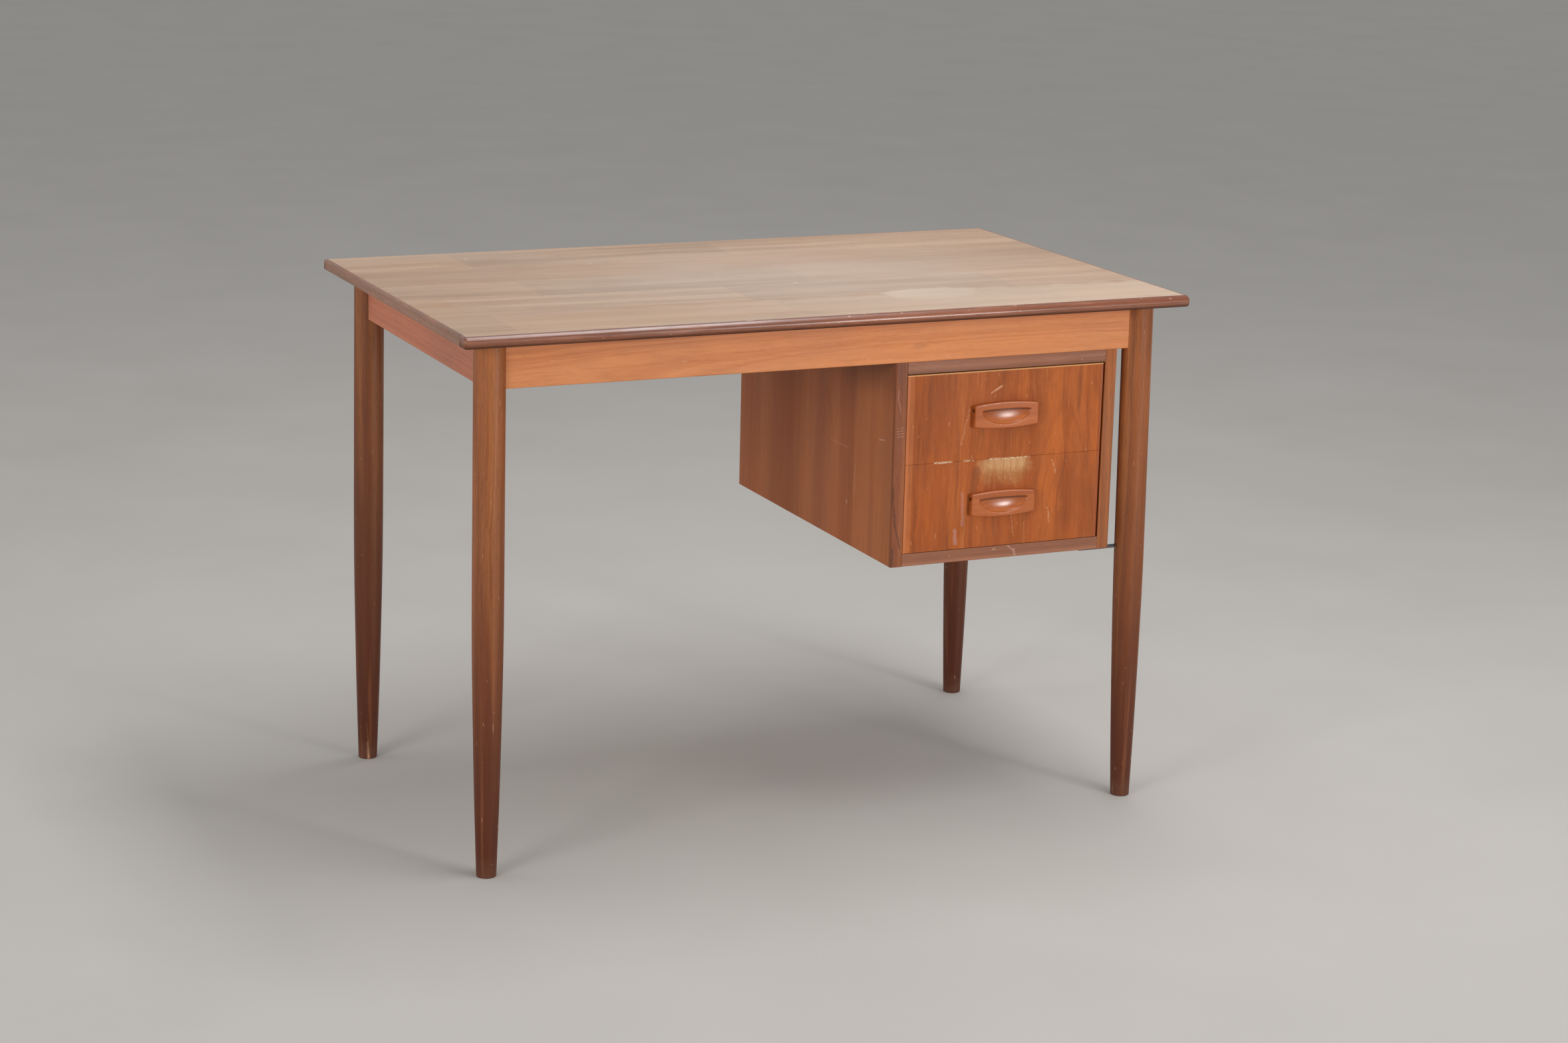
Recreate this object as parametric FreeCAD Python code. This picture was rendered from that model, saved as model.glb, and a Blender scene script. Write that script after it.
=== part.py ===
import FreeCAD, Part
import math
import os

# Writing desk: veneered top on a four-legged frame, with a two-drawer pedestal hung at the right.
# Millimetres. Origin on the floor at the middle of the footprint, +Z up, front towards -Y.

# ---- Overall ----
DESK_L = 1050.0
DESK_W = 625.0
DESK_H = 732.0

# ---- Table top ----
TOP_T = 15.5
VENEER_T = 0.6
VENEER_SETBACK = 5.0
VENEER_FRONT_SETBACK = 9.0
TOP_FRONT_R = 8.0
TOP_FRONT_LOWER_R = 4.5
TOP_REAR_R = 4.0
TOP_END_R = 3.5
LIP_FRONT_W = 22.0
LIP_EDGE_W = 9.0

# ---- Legs ----
LEG_R = 21.0
LEG_INSET_X = 51.0
LEG_INSET_Y = 53.0
LEG_SPLAY_DEG = 0.5
LEG_PROFILE = ((400.0, 21.0), (300.0, 20.5), (210.0, 18.95), (110.0, 16.7), (0.0, 13.3))
LEG_FOOT_R = 1.2
LEG_SEAT = 17.0

# ---- Aprons and what stiffens them ----
APRON_H = 62.0
APRON_T = 18.0
APRON_INSET = 43.5
BLOCK_REACH = 60.0
BLOCK_TRIM = 10.0
BLOCK_H = 28.0
BLOCK_SCREW_IN = 22.0
BLOCK_LEG_GAP = 1.5
FIXING_BLOCK_L = 70.0
FIXING_BLOCK_W = 26.0
FIXING_BLOCK_X = -185.0
BEARER_W = 24.0
BEARER_H = 32.0
BEARER_IN = 25.0
APRON_EDGE_R = 1.5

# ---- Pedestal carcass ----
PED_LEFT = 100.0
PED_W = 340.0
PED_H = 285.0
PED_DEPTH = 520.0
PED_SETBACK = 46.5
PANEL_T = 17.5
PED_LIP_T = 5.0
PED_LIP_R = 0.9
BACK_T = 4.0
BACK_REBATE_W = 8.0

# ---- Drawers ----
GAP_TOP = 1.4
GAP_SPLIT = 0.2
GAP_BOTTOM = 0.6
GAP_LEFT = 0.4
GAP_RIGHT = 3.0
FRONT_T = 18.0
FRONT_LIP_W = 4.5
FRONT_EDGE_R = 0.3
SIDE_T = 13.0
SIDE_H = 104.0
SIDE_L = 480.0
SIDE_LIFT = 7.0
SIDE_REBATE = 10.0
SIDE_TOP_R = 3.0
DRAWER_BACK_T = 12.0
DRAWER_BACK_DROP = 6.0
BOTTOM_T = 4.0
BOTTOM_LIFT = 8.0
BOTTOM_GROOVE = 4.0
RUNNER_W = 8.5
RUNNER_H = 12.0
RUNNER_L = 486.0
RUNNER_GAP = 0.3
RUNNER_STOP_GAP = 0.5
RUNNER_GROOVE = 8.5

# ---- Drawer pulls ----
PULL_L = 98.0
PULL_END_H = 30.0
PULL_MID_H = 37.0
PULL_T = 8.0
PULL_EDGE_R = 1.4
SCOOP_HALF_L = 37.5
SCOOP_H = 20.0
SCOOP_DEPTH = 6.5
SCOOP_LIP_Z = 6.8
SCOOP_ARCH = 2.0
SCOOP_RIM_R = 0.8
UNDERCUT_H = 3.6
UNDERCUT_START = 3.4
PULL_SCREW_X = 43.5
PULL_SCREW_L = 22.0
PULL_OFF_CENTRE = 1.9

# ---- Steel strap from the pedestal to the front right leg ----
STRAP_W = 14.0
STRAP_T = 1.5
STRAP_UNDER = 45.0
STRAP_FRONT_SETBACK = 2.0
STRAP_IN_LEG = 8.0
STRAP_CORNER_R = 3.0

# ---- Fasteners ----
DOWEL_D = 8.0
DOWEL_L = 36.0
DOWEL_SHALLOW = 12.0
DOWEL_CHAMFER = 1.0
NAIL_D = 1.6
NAIL_L = 20.0
NAIL_HEAD_D = 4.0
NAIL_HEAD_T = 0.8
CARCASS_DOWEL_Y = (-200, -70, 70, 200)
HANGING_SCREW_Y = (-135, 0, 135)
RUNNER_SCREW_Y = (-200, 0, 200)

# ---- Levels and faces that follow from the above ----
UNDERSIDE_Z = DESK_H - TOP_T
APRON_Z = UNDERSIDE_Z - APRON_H
LEG_X = DESK_L / 2 - LEG_INSET_X
LEG_Y = DESK_W / 2 - LEG_INSET_Y
APRON_OUT_X = DESK_L / 2 - APRON_INSET
APRON_OUT_Y = DESK_W / 2 - APRON_INSET
APRON_IN_X = APRON_OUT_X - APRON_T
APRON_IN_Y = APRON_OUT_Y - APRON_T
PED_RIGHT = PED_LEFT + PED_W
PED_TOP = APRON_Z
PED_Z = PED_TOP - PED_H
PED_FRONT_Y = PED_SETBACK - DESK_W / 2
PED_BACK_Y = PED_FRONT_Y + PED_DEPTH
PANEL_FRONT_Y = PED_FRONT_Y + PED_LIP_T
BACK_FACE_Y = PED_BACK_Y - BACK_T
OPEN_LEFT = PED_LEFT + PANEL_T
OPEN_RIGHT = PED_RIGHT - PANEL_T
OPEN_Z = PED_Z + PANEL_T
OPEN_TOP = PED_TOP - PANEL_T
FRONT_H = (OPEN_TOP - OPEN_Z - GAP_TOP - GAP_SPLIT - GAP_BOTTOM) / 2
FRONT_LEFT = OPEN_LEFT + GAP_LEFT
FRONT_RIGHT = OPEN_RIGHT - GAP_RIGHT
PULL_X = (FRONT_LEFT + FRONT_RIGHT) / 2 - PULL_OFF_CENTRE
FRONT_BACK_Y = PED_FRONT_Y + FRONT_T
SIDE_FRONT_Y = FRONT_BACK_Y - SIDE_REBATE
SIDE_END_Y = SIDE_FRONT_Y + SIDE_L
DRAWER_Z = {"lower": OPEN_Z + GAP_BOTTOM, "upper": OPEN_Z + GAP_BOTTOM + FRONT_H + GAP_SPLIT}
CORNERS = {"front_left": (-1, -1), "front_right": (1, -1), "rear_left": (-1, 1), "rear_right": (1, 1)}
BEARER_X = {"left": PED_LEFT + BEARER_IN, "right": PED_RIGHT - BEARER_IN}


def vec(x, y, z):
    return FreeCAD.Vector(x, y, z)


def box(x0, x1, y0, y1, z0, z1):
    """A box between two limits on each axis, given in either order."""
    low = vec(min(x0, x1), min(y0, y1), min(z0, z1))
    return Part.makeBox(abs(x1 - x0), abs(y1 - y0), abs(z1 - z0), low)


def less(shape, cutters):
    """The shape with every cutter that touches it taken away."""
    near = [c for c in cutters if c.BoundBox.intersect(shape.BoundBox)]
    if near:
        shape = shape.cut(Part.makeCompound(near))
    return shape


def eased(shape, radius, wanted):
    """The shape with a small round on each edge whose bounding box passes the test."""
    return shape.makeFillet(radius, [e for e in shape.Edges if wanted(e.BoundBox)])


def edges_at_height(shape, z):
    """The edges that lie wholly in the horizontal plane at height z."""
    return [e for e in shape.Edges if abs(e.BoundBox.ZMin - z) + abs(e.BoundBox.ZMax - z) < 0.001]


# ---- Fasteners. Each is made along +Z from its head, then placed. ----

def placed(shape, position, direction):
    moved = shape.copy()
    moved.Placement = FreeCAD.Placement(position, FreeCAD.Rotation(vec(0, 0, 1), direction))
    return moved


def wood_screw_blank(length, shank_d, head_d):
    """A countersunk wood screw without its slot: also the hole that the wood needs for it."""
    head_h = (head_d - shank_d) / 2
    tip_h = shank_d * 1.2
    outline = [
        vec(0, 0, 0),
        vec(head_d / 2, 0, 0),
        vec(shank_d / 2, 0, head_h),
        vec(shank_d / 2, 0, length - tip_h),
        vec(0, 0, length),
        vec(0, 0, 0),
    ]
    return Part.Face(Part.makePolygon(outline)).revolve(vec(0, 0, 0), vec(0, 0, 1), 360)


def slotted(blank, head_d):
    slot_w = head_d * 0.14
    slot = box(-head_d, head_d, -slot_w / 2, slot_w / 2, -1, head_d * 0.16)
    return blank.cut(slot)


def screw_set(length, shank_d, head_d, places):
    """The slotted screws at the given places, and the blanks that cut their holes."""
    blank = wood_screw_blank(length, shank_d, head_d)
    screw = slotted(blank, head_d)
    screws = [placed(screw, position, direction) for position, direction in places]
    holes = [placed(blank, position, direction) for position, direction in places]
    return screws, holes


def dowel(position, direction):
    peg = Part.makeCylinder(DOWEL_D / 2, DOWEL_L)
    peg = peg.makeChamfer(DOWEL_CHAMFER, edges_at_height(peg, 0) + edges_at_height(peg, DOWEL_L))
    return placed(peg, position, direction)


def dowel_hole(position, direction):
    return placed(Part.makeCylinder(DOWEL_D / 2, DOWEL_L), position, direction)


def dowel_places():
    """Where each dowel starts and which way it runs; its first 12 mm lie in the outer piece."""
    places = []
    apron_levels = [APRON_Z + APRON_H * k for k in (0.28, 0.72)]
    for sx, sy in CORNERS.values():
        for z in apron_levels:
            seat_x = LEG_X - LEG_SEAT + DOWEL_SHALLOW
            seat_y = LEG_Y - LEG_SEAT + DOWEL_SHALLOW
            places.append((vec(sx * seat_x, sy * (APRON_OUT_Y - APRON_T / 2), z), vec(-sx, 0, 0)))
            places.append((vec(sx * (APRON_OUT_X - APRON_T / 2), sy * seat_y, z), vec(0, -sy, 0)))
    for x in BEARER_X.values():
        for sy in (-1, 1):
            for k in (0.25, 0.75):
                start = vec(x, sy * (APRON_IN_Y + DOWEL_SHALLOW), APRON_Z + BEARER_H * k)
                places.append((start, vec(0, -sy, 0)))
    for x, sx in ((OPEN_LEFT - DOWEL_SHALLOW, 1), (OPEN_RIGHT + DOWEL_SHALLOW, -1)):
        for z in (OPEN_Z - PANEL_T / 2, OPEN_TOP + PANEL_T / 2):
            for y in CARCASS_DOWEL_Y:
                places.append((vec(x, y, z), vec(sx, 0, 0)))
    return places


DOWEL_HOLES = [dowel_hole(*place) for place in dowel_places()]

BLOCK_SCREW_Z = UNDERSIDE_Z - BLOCK_H
FIXING_BLOCK_Y = APRON_IN_Y - FIXING_BLOCK_W / 2
TOP_SCREW_PLACES = [
    (vec(sx * (APRON_IN_X - BLOCK_SCREW_IN), sy * (APRON_IN_Y - BLOCK_SCREW_IN), BLOCK_SCREW_Z), vec(0, 0, 1))
    for sx, sy in CORNERS.values()
] + [(vec(FIXING_BLOCK_X, sy * FIXING_BLOCK_Y, BLOCK_SCREW_Z), vec(0, 0, 1)) for sy in (-1, 1)]
TOP_SCREWS, TOP_SCREW_HOLES = screw_set(35, 4, 8, TOP_SCREW_PLACES)

HANGING_PLACES = [(vec(x, y, OPEN_TOP), vec(0, 0, 1)) for x in BEARER_X.values() for y in HANGING_SCREW_Y]
HANGING_SCREWS, HANGING_HOLES = screw_set(45, 4.5, 9, HANGING_PLACES)


def runner_z(name):
    return DRAWER_Z[name] + SIDE_LIFT + SIDE_H / 2 - RUNNER_H / 2


RUNNER_SCREW_PLACES = [
    (vec(x, y, runner_z(name) + RUNNER_H / 2), vec(direction, 0, 0))
    for name in DRAWER_Z
    for x, direction in ((OPEN_LEFT + RUNNER_W, -1), (OPEN_RIGHT - RUNNER_W, 1))
    for y in RUNNER_SCREW_Y
]
RUNNER_SCREWS, RUNNER_HOLES = screw_set(20, 3.5, 7, RUNNER_SCREW_PLACES)


def leg_axis_at(sx, sy, z):
    """The point of a leg's leaning axis at height z."""
    lean = (UNDERSIDE_Z - z) * math.tan(math.radians(LEG_SPLAY_DEG))
    return vec(sx * (LEG_X + lean), sy * (LEG_Y + lean), z)


STRAP_Z = PED_Z - STRAP_T
STRAP_Y = PED_FRONT_Y + STRAP_FRONT_SETBACK + STRAP_W / 2
STRAP_END_X = leg_axis_at(1, -1, PED_Z).x - LEG_R + STRAP_IN_LEG
STRAP_START_X = PED_RIGHT - STRAP_UNDER
STRAP_SCREW_PLACES = [(vec(x, STRAP_Y, STRAP_Z), vec(0, 0, 1)) for x in (STRAP_START_X + 10, PED_RIGHT - PANEL_T / 2)]
STRAP_SCREWS, STRAP_HOLES = screw_set(16, 2.8, 5.6, STRAP_SCREW_PLACES)


def back_nail_places():
    places = []
    for x in (PED_LEFT + 60, PED_LEFT + PED_W / 2, PED_RIGHT - 60):
        for z in (OPEN_Z - PANEL_T / 2, OPEN_TOP + PANEL_T / 2):
            places.append((vec(x, PED_BACK_Y, z), vec(0, -1, 0)))
    for x in (PED_LEFT + PANEL_T - BACK_REBATE_W / 2, PED_RIGHT - PANEL_T + BACK_REBATE_W / 2):
        for z in (PED_Z + 50, PED_Z + PED_H / 2, PED_TOP - 50):
            places.append((vec(x, PED_BACK_Y, z), vec(0, -1, 0)))
    return places


def nail(position, direction):
    head = Part.makeCylinder(NAIL_HEAD_D / 2, NAIL_HEAD_T)
    pin = Part.makeCylinder(NAIL_D / 2, NAIL_L)
    return placed(head.fuse(pin).removeSplitter(), position, direction)


BACK_NAILS = [nail(*place) for place in back_nail_places()]


# ---- Table top ----

def top_blank():
    """The whole top: each long edge rounded to its own radius, then the ends eased all round."""
    slab = box(-DESK_L / 2, DESK_L / 2, -DESK_W / 2, DESK_W / 2, UNDERSIDE_Z, DESK_H)
    long_edges = (
        (-DESK_W / 2, DESK_H, TOP_FRONT_R),
        (-DESK_W / 2, UNDERSIDE_Z, TOP_FRONT_LOWER_R),
        (DESK_W / 2, DESK_H, TOP_REAR_R),
        (DESK_W / 2, UNDERSIDE_Z, TOP_REAR_R),
    )
    for y, z, radius in long_edges:
        slab = eased(slab, radius, lambda b: b.XLength > DESK_L / 2 and abs(b.YMin - y) + abs(b.ZMin - z) < 0.001)
    return eased(slab, TOP_END_R, lambda b: b.XLength < 0.001)


def veneer_sheet(z0, z1):
    half_l = DESK_L / 2 - VENEER_SETBACK
    front = VENEER_FRONT_SETBACK - DESK_W / 2
    return box(-half_l, half_l, front, DESK_W / 2 - VENEER_SETBACK, z0, z1)


def top_veneer():
    return veneer_sheet(DESK_H - VENEER_T, DESK_H)


def top_balancing_veneer():
    return less(veneer_sheet(UNDERSIDE_Z, UNDERSIDE_Z + VENEER_T), TOP_SCREW_HOLES)


def core_limits():
    """The core's limits in plan: inside the lippings on all four sides."""
    half_l = DESK_L / 2 - LIP_EDGE_W
    return -half_l, half_l, -DESK_W / 2 + LIP_FRONT_W, DESK_W / 2 - LIP_EDGE_W


def top_core():
    core = box(*core_limits(), UNDERSIDE_Z + VENEER_T, DESK_H - VENEER_T)
    return less(core, TOP_SCREW_HOLES)


def lip_ring():
    core = box(*core_limits(), UNDERSIDE_Z, DESK_H)
    return less(top_blank(), [core, top_veneer(), veneer_sheet(UNDERSIDE_Z, UNDERSIDE_Z + VENEER_T)])


def top_lip(side):
    """One lipping. Front and rear run the full length; the end ones fit between them."""
    x0, x1, y0, y1 = core_limits()
    limits = {
        "front": (-DESK_L, DESK_L, -DESK_W, y0),
        "rear": (-DESK_L, DESK_L, y1, DESK_W),
        "left": (-DESK_L, x0, y0, y1),
        "right": (x1, DESK_L, y0, y1),
    }
    return lip_ring().common(box(*limits[side], 0, 2 * DESK_H))


# ---- Frame ----

def apron(side):
    end_x = LEG_X - LEG_SEAT
    end_y = LEG_Y - LEG_SEAT
    limits = {
        "front": (-end_x, end_x, -APRON_OUT_Y, -APRON_IN_Y),
        "rear": (-end_x, end_x, APRON_IN_Y, APRON_OUT_Y),
        "left": (-APRON_OUT_X, -APRON_IN_X, -end_y, end_y),
        "right": (APRON_IN_X, APRON_OUT_X, -end_y, end_y),
    }
    rail = box(*limits[side], APRON_Z, UNDERSIDE_Z)
    rail = eased(rail, APRON_EDGE_R, lambda b: b.ZMax < APRON_Z + 1 and b.DiagonalLength > 10 * APRON_T)
    return less(rail, DOWEL_HOLES)


def leg_blank(overrun):
    """A turned leg on the Z axis: straight above, tapering to the foot along a soft curve."""
    curve = Part.BSplineCurve()
    points = [vec(radius, 0, height) for height, radius in LEG_PROFILE]
    curve.interpolate(Points=points, InitialTangent=vec(0, 0, -1), FinalTangent=vec(-0.034, 0, -1))
    top_z = UNDERSIDE_Z + overrun
    knee = LEG_PROFILE[0][0]
    foot_r = LEG_PROFILE[-1][1]
    edges = [
        Part.makeLine(vec(0, 0, top_z), vec(LEG_R, 0, top_z)),
        Part.makeLine(vec(LEG_R, 0, top_z), vec(LEG_R, 0, knee)),
        curve.toShape(),
        Part.makeLine(vec(foot_r, 0, 0), vec(foot_r, 0, -overrun)),
        Part.makeLine(vec(foot_r, 0, -overrun), vec(0, 0, -overrun)),
        Part.makeLine(vec(0, 0, -overrun), vec(0, 0, top_z)),
    ]
    return Part.Face(Part.Wire(edges)).revolve(vec(0, 0, 0), vec(0, 0, 1), 360)


def leg(corner):
    sx, sy = CORNERS[corner]
    blank = leg_blank(overrun=5)
    foot = leg_axis_at(sx, sy, 0)
    lean = leg_axis_at(sx, sy, UNDERSIDE_Z) - foot
    turned = placed(blank, foot, lean)
    turned = turned.common(box(-DESK_L, DESK_L, -DESK_W, DESK_W, 0, UNDERSIDE_Z))
    turned = turned.makeFillet(LEG_FOOT_R, edges_at_height(turned, 0))
    seats = [apron(side) for side in ("front", "rear", "left", "right")]
    slot = [steel_strap()] if corner == "front_right" else []
    return less(turned, seats + DOWEL_HOLES + slot)


def corner_block(corner):
    """A glue block in the corner of two aprons, hollowed to clear the leg."""
    sx, sy = CORNERS[corner]
    plan = [
        (0, 0),
        (BLOCK_REACH, 0),
        (BLOCK_REACH, BLOCK_TRIM),
        (BLOCK_TRIM, BLOCK_REACH),
        (0, BLOCK_REACH),
        (0, 0),
    ]
    outline = [vec(sx * (APRON_IN_X - u), sy * (APRON_IN_Y - v), BLOCK_SCREW_Z) for u, v in plan]
    block = Part.Face(Part.makePolygon(outline)).extrude(vec(0, 0, BLOCK_H))
    leg_space = Part.makeCylinder(LEG_R + BLOCK_LEG_GAP, DESK_H, vec(sx * LEG_X, sy * LEG_Y, 0))
    return less(block, [leg_space] + TOP_SCREW_HOLES)


def fixing_block(sy):
    """A block glued to the middle of the front or rear apron for a screw into the top."""
    half = FIXING_BLOCK_L / 2
    y_in = sy * (APRON_IN_Y - FIXING_BLOCK_W)
    block = box(FIXING_BLOCK_X - half, FIXING_BLOCK_X + half, sy * APRON_IN_Y, y_in, BLOCK_SCREW_Z, UNDERSIDE_Z)
    return less(block, TOP_SCREW_HOLES)


def bearer(side):
    """A rail from the front apron to the rear one, which the pedestal hangs from."""
    x = BEARER_X[side]
    rail = box(x - BEARER_W / 2, x + BEARER_W / 2, -APRON_IN_Y, APRON_IN_Y, APRON_Z, APRON_Z + BEARER_H)
    return less(rail, DOWEL_HOLES + HANGING_HOLES)


# ---- Pedestal ----

def ped_side(side):
    outer, inner = (PED_LEFT, OPEN_LEFT) if side == "left" else (PED_RIGHT, OPEN_RIGHT)
    rebate_x = inner + BACK_REBATE_W * (1 if outer > inner else -1)
    panel = box(outer, inner, PANEL_FRONT_Y, PED_BACK_Y, PED_Z, PED_TOP)
    rebate = box(inner, rebate_x, BACK_FACE_Y, PED_BACK_Y, PED_Z, PED_TOP)
    return less(panel, [rebate] + DOWEL_HOLES + RUNNER_HOLES + STRAP_HOLES + BACK_NAILS)


def ped_level(z0, z1):
    panel = box(OPEN_LEFT, OPEN_RIGHT, PANEL_FRONT_Y, BACK_FACE_Y, z0, z1)
    return less(panel, DOWEL_HOLES + HANGING_HOLES + STRAP_HOLES + BACK_NAILS)


def ped_back():
    x0 = OPEN_LEFT - BACK_REBATE_W
    x1 = OPEN_RIGHT + BACK_REBATE_W
    return less(box(x0, x1, BACK_FACE_Y, PED_BACK_Y, PED_Z, PED_TOP), BACK_NAILS)


def ped_lip(side):
    limits = {
        "left": (PED_LEFT, OPEN_LEFT, PED_Z, PED_TOP),
        "right": (OPEN_RIGHT, PED_RIGHT, PED_Z, PED_TOP),
        "top": (OPEN_LEFT, OPEN_RIGHT, OPEN_TOP, PED_TOP),
        "bottom": (OPEN_LEFT, OPEN_RIGHT, PED_Z, OPEN_Z),
    }
    x0, x1, z0, z1 = limits[side]
    strip = box(x0, x1, PED_FRONT_Y, PANEL_FRONT_Y, z0, z1)
    strip = eased(strip, PED_LIP_R, lambda b: b.YMax < PED_FRONT_Y + 1 and b.DiagonalLength > 2 * PANEL_T)
    return less(strip, STRAP_HOLES)


def runner(name, side):
    x0, x1 = (OPEN_LEFT, OPEN_LEFT + RUNNER_W) if side == "left" else (OPEN_RIGHT - RUNNER_W, OPEN_RIGHT)
    y0 = FRONT_BACK_Y + RUNNER_STOP_GAP
    z0 = runner_z(name)
    return less(box(x0, x1, y0, y0 + RUNNER_L, z0, z0 + RUNNER_H), RUNNER_HOLES)


def steel_strap():
    """A flat bar screwed under the pedestal, its far end let into the front right leg."""
    y0 = STRAP_Y - STRAP_W / 2
    bar = box(STRAP_START_X, STRAP_END_X, y0, y0 + STRAP_W, STRAP_Z, PED_Z)
    start_edges = [e for e in bar.Edges if e.BoundBox.XMax < STRAP_START_X + 1 and e.BoundBox.ZLength > STRAP_T / 2]
    return less(bar.makeFillet(STRAP_CORNER_R, start_edges), STRAP_HOLES)


# ---- Drawers ----

def drawer_side_blank(name, side):
    x0, x1 = (FRONT_LEFT, FRONT_LEFT + SIDE_T) if side == "left" else (FRONT_RIGHT - SIDE_T, FRONT_RIGHT)
    z0 = DRAWER_Z[name] + SIDE_LIFT
    z1 = z0 + SIDE_H
    board = box(x0, x1, SIDE_FRONT_Y, SIDE_END_Y, z0, z1)
    return eased(board, SIDE_TOP_R, lambda b: b.ZMin > z1 - 1 and b.YLength > SIDE_L / 2)


def drawer_bottom(name):
    """Thin plywood let into the front and sides; the back stands on it."""
    x0 = FRONT_LEFT + SIDE_T - BOTTOM_GROOVE
    x1 = FRONT_RIGHT - SIDE_T + BOTTOM_GROOVE
    z0 = DRAWER_Z[name] + SIDE_LIFT + BOTTOM_LIFT
    return box(x0, x1, FRONT_BACK_Y - BOTTOM_GROOVE, SIDE_END_Y, z0, z0 + BOTTOM_T)


def pull_screws(name):
    z = DRAWER_Z[name] + FRONT_H / 2
    places = [(vec(PULL_X + side * PULL_SCREW_X, FRONT_BACK_Y, z), vec(0, -1, 0)) for side in (-1, 1)]
    return screw_set(PULL_SCREW_L, 3.5, 7, places)


def front_blank(name):
    z0 = DRAWER_Z[name]
    slab = box(FRONT_LEFT, FRONT_RIGHT, PED_FRONT_Y, FRONT_BACK_Y, z0, z0 + FRONT_H)
    slab = eased(slab, FRONT_EDGE_R, lambda b: b.YMax < PED_FRONT_Y + 1)
    sides = [drawer_side_blank(name, side) for side in ("left", "right")]
    screws, holes = pull_screws(name)
    return less(slab, sides + [drawer_bottom(name)] + holes)


def front_lip_space(name):
    z0 = DRAWER_Z[name]
    limits = ((FRONT_LEFT, FRONT_LEFT + FRONT_LIP_W), (FRONT_RIGHT - FRONT_LIP_W, FRONT_RIGHT))
    return [box(x0, x1, PED_FRONT_Y, FRONT_BACK_Y, z0, z0 + FRONT_H) for x0, x1 in limits]


def drawer_front(name):
    return less(front_blank(name), front_lip_space(name))


def drawer_front_lips(name):
    blank = front_blank(name)
    return Part.makeCompound([blank.common(space) for space in front_lip_space(name)])


def drawer_side(name, side):
    """A drawer side, grooved outside for its runner and inside for the bottom."""
    blank = drawer_side_blank(name, side)
    z0 = runner_z(name) - RUNNER_GAP
    x0, x1 = (FRONT_LEFT, FRONT_LEFT + RUNNER_GROOVE) if side == "left" else (FRONT_RIGHT - RUNNER_GROOVE, FRONT_RIGHT)
    groove = box(x0, x1, FRONT_BACK_Y, SIDE_END_Y, z0, z0 + RUNNER_H + 2 * RUNNER_GAP)
    return less(blank, [groove, drawer_bottom(name)])


def drawer_back(name):
    z0 = DRAWER_Z[name] + SIDE_LIFT + BOTTOM_LIFT + BOTTOM_T
    z1 = DRAWER_Z[name] + SIDE_LIFT + SIDE_H - DRAWER_BACK_DROP
    return box(FRONT_LEFT + SIDE_T, FRONT_RIGHT - SIDE_T, SIDE_END_Y - DRAWER_BACK_T, SIDE_END_Y, z0, z1)


def scoop_piece(height, y0, z0, z1):
    """The part behind y0 and between two levels of an ellipsoid as long as the finger hollow."""
    stretch = FreeCAD.Matrix()
    stretch.scale(SCOOP_HALF_L, SCOOP_DEPTH, height)
    bowl = Part.makeSphere(1.0).transformGeometry(stretch)
    reach = SCOOP_HALF_L + 1
    piece = bowl.common(box(-reach, reach, y0, SCOOP_DEPTH + 1, z0, z1))
    piece.translate(vec(0, 0, SCOOP_LIP_Z))
    return piece


def scooped(block):
    """The block with a finger hollow under an arched lip, its rim eased, and an undercut behind the lip."""
    hollow = scoop_piece(SCOOP_H, -PULL_T, -SCOOP_H - 1, 0).fuse(scoop_piece(SCOOP_ARCH, -PULL_T, 0, SCOOP_ARCH + 1))
    block = block.cut(hollow)
    brim = [
        e for e in block.Edges
        if e.BoundBox.YMax < SCOOP_RIM_R / 2
        and -SCOOP_HALF_L - 1 < e.BoundBox.XMin
        and e.BoundBox.XMax < SCOOP_HALF_L + 1
    ]
    block = block.makeFillet(SCOOP_RIM_R, brim)
    return block.cut(scoop_piece(SCOOP_H, UNDERCUT_START, 0, UNDERCUT_H))


def pull(name):
    """A wooden block with bowed upper and lower edges and a hollow for the fingers."""
    half_l = PULL_L / 2
    end = PULL_END_H / 2
    mid = PULL_MID_H / 2
    outline = Part.Wire([
        Part.Arc(vec(-half_l, 0, end), vec(0, 0, mid), vec(half_l, 0, end)).toShape(),
        Part.makeLine(vec(half_l, 0, end), vec(half_l, 0, -end)),
        Part.Arc(vec(half_l, 0, -end), vec(0, 0, -mid), vec(-half_l, 0, -end)).toShape(),
        Part.makeLine(vec(-half_l, 0, -end), vec(-half_l, 0, end)),
    ])
    block = Part.Face(outline).extrude(vec(0, PULL_T, 0))
    rim = [e for e in block.Edges if e.BoundBox.YMax < PULL_T / 2]
    block = scooped(block.makeFillet(PULL_EDGE_R, rim))
    block.translate(vec(PULL_X, PED_FRONT_Y - PULL_T, DRAWER_Z[name] + FRONT_H / 2))
    screws, holes = pull_screws(name)
    return less(block, holes)


# ---- Every sub-part by its node name ----

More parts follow.
